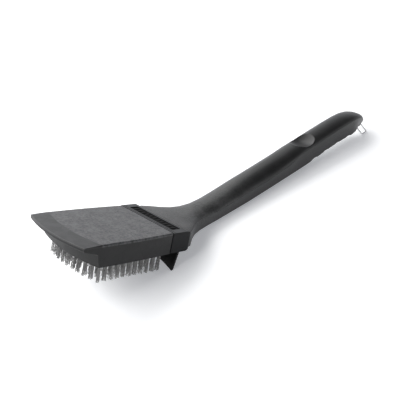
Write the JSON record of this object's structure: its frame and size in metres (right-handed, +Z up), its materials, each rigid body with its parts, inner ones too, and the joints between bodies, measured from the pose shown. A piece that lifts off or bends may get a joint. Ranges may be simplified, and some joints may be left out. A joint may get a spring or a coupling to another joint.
{
  "type": "grill cleaning brush",
  "caption": "Long-handled grill brush with a wide wire-bristle head, an arched scraper blade behind the bristles, a grooved grip and a wire hanging loop.",
  "frame": {"origin": "on the table, mid-width, half-way along the brush from the lip of the head to the hanging loop", "axes": "+X from the head to the hanging loop, +Y across, +Z up from the table the brush lies on"},
  "size_m": [0.4568, 0.0808, 0.0728],
  "materials": {
    "head_resin": "grained charcoal",
    "base_resin": "plain black",
    "collar_resin": "smooth black",
    "handle_resin": "grained charcoal",
    "blade_steel": "black coated sheet",
    "bristle_wire": "bright crimped wire",
    "staple_steel": "plain",
    "screw_steel": "zinc plated",
    "bail_wire": "bright drawn wire"
  },
  "bodies": {
    "handle": {"handle_base": "handle_resin", "handle_top": "handle_resin", "handle_screws": "screw_steel", "collar": "collar_resin", "scraper_blade": "blade_steel", "scraper_screws": "screw_steel"},
    "head": {"head_shell": "head_resin", "bristle_base": "base_resin", "tuft_row_01": "bristle_wire", "tuft_row_02": "bristle_wire", "tuft_row_03": "bristle_wire", "tuft_row_04": "bristle_wire", "tuft_row_05": "bristle_wire", "tuft_row_06": "bristle_wire", "tuft_row_07": "bristle_wire", "tuft_row_08": "bristle_wire", "tuft_row_09": "bristle_wire", "tuft_row_10": "bristle_wire", "tuft_row_11": "bristle_wire", "tuft_staples": "staple_steel"},
    "bail": {"hanging_bail": "bail_wire"}
  },
  "joints": [
    {"name": "head_slide", "type": "slide", "parent": "handle", "child": "head", "axis": [-0.9394, 0, 0.3428], "range_m": [0, 0.034]},
    {"name": "bail_swing", "type": "hinge", "parent": "handle", "child": "bail", "pos_m": [0.21765, 0, 0.013], "axis": [-1, 0, 0], "range_deg": [-112, 46]}
  ]
}
